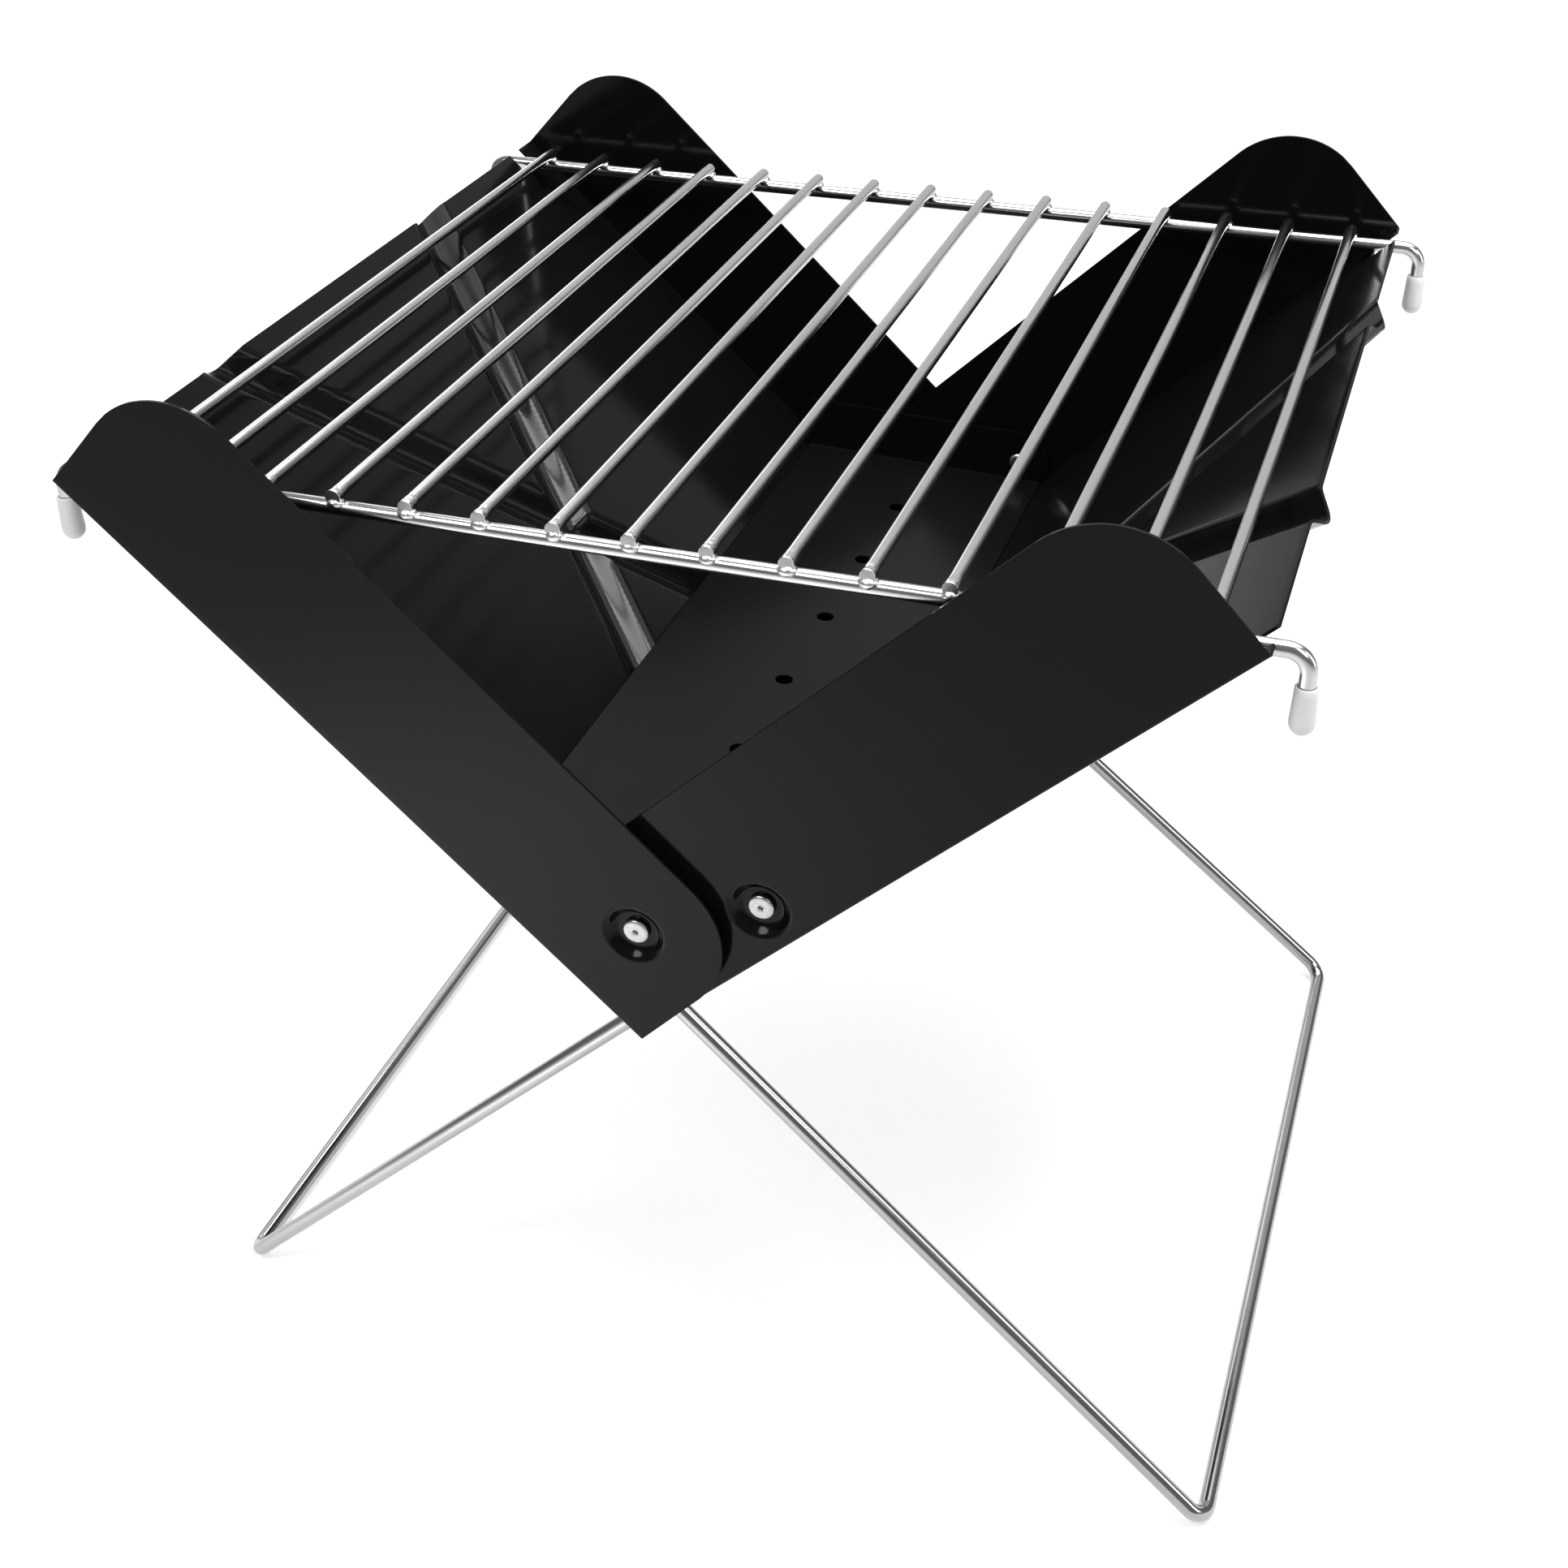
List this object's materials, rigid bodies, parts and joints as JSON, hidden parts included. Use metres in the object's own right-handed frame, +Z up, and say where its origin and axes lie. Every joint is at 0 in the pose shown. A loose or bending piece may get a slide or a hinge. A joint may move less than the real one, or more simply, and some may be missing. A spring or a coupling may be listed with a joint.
{
  "type": "folding camp grill",
  "caption": "Charcoal camp grill: two hinged steel trays open into a V firebox with a perforated base plate, a lift-off wire grate and two folding wire legs.",
  "frame": {"origin": "centre of the bounding box's bottom face, on the ground between the feet", "axes": "+X to the right across the V, +Y to the back along the hinge, +Z up"},
  "size_m": [0.368, 0.324, 0.3603],
  "materials": {
    "black_enamel": "satin black heat-resistant enamel with a faint orange peel",
    "base_plate_enamel": "dull black enamel",
    "chromed_wire": "bright plated steel wire",
    "rivet_metal": "bare rivet heads",
    "cap_plastic": "off-white soft plastic"
  },
  "bodies": {
    "right_tray": {"right_tray": "black_enamel", "tray_rivet_front": "rivet_metal", "tray_rivet_rear": "rivet_metal", "plate_rivet_front": "rivet_metal", "plate_rivet_rear": "rivet_metal", "left_leg_clip_front": "black_enamel", "left_leg_clip_rear": "black_enamel"},
    "left_tray": {"left_tray": "black_enamel", "right_leg_clip_front": "black_enamel", "right_leg_clip_rear": "black_enamel"},
    "base_plate": {"base_plate": "base_plate_enamel"},
    "grate": {"grate_rod_01": "chromed_wire", "grate_rod_02": "chromed_wire", "grate_rod_03": "chromed_wire", "grate_rod_04": "chromed_wire", "grate_rod_05": "chromed_wire", "grate_rod_06": "chromed_wire", "grate_rod_07": "chromed_wire", "grate_rod_08": "chromed_wire", "grate_rod_09": "chromed_wire", "grate_rod_10": "chromed_wire", "grate_rod_11": "chromed_wire", "grate_rod_12": "chromed_wire", "grate_rod_13": "chromed_wire", "grate_rod_14": "chromed_wire", "grate_rod_15": "chromed_wire", "grate_crossbar_front": "chromed_wire", "grate_crossbar_rear": "chromed_wire", "tip_cap_front_left": "cap_plastic", "tip_cap_front_right": "cap_plastic", "tip_cap_rear_left": "cap_plastic", "tip_cap_rear_right": "cap_plastic"},
    "right_leg": {"right_leg": "chromed_wire"},
    "left_leg": {"left_leg": "chromed_wire"}
  },
  "joints": [
    {"name": "tray_hinge", "type": "hinge", "parent": "right_tray", "child": "left_tray", "pos_m": [-0.00213, 0, 0.21011], "axis": [0, 1, 0], "range_deg": [0, 93]},
    {"name": "plate_hinge", "type": "hinge", "parent": "right_tray", "child": "base_plate", "pos_m": [0.03532, 0, 0.22433], "axis": [0, 1, 0], "range_deg": [0, 134]},
    {"name": "grate_lift", "type": "slide", "parent": "right_tray", "child": "grate", "axis": [0, 0, 1], "range_m": [0, 0.36]},
    {"name": "right_leg_hinge", "type": "hinge", "parent": "left_tray", "child": "right_leg", "pos_m": [-0.01456, 0, 0.17742], "axis": [0, 1, 0], "range_deg": [0, 170]},
    {"name": "left_leg_hinge", "type": "hinge", "parent": "right_tray", "child": "left_leg", "pos_m": [0.01031, 0, 0.17742], "axis": [0, -1, 0], "range_deg": [0, 170]}
  ],
  "couplings": [
    {"joint": "plate_hinge", "follows": "tray_hinge", "ratio": 1.44},
    {"joint": "grate_lift", "follows": "tray_hinge", "m_per_rad": 0.22},
    {"joint": "left_leg_hinge", "follows": "right_leg_hinge", "ratio": 1}
  ]
}
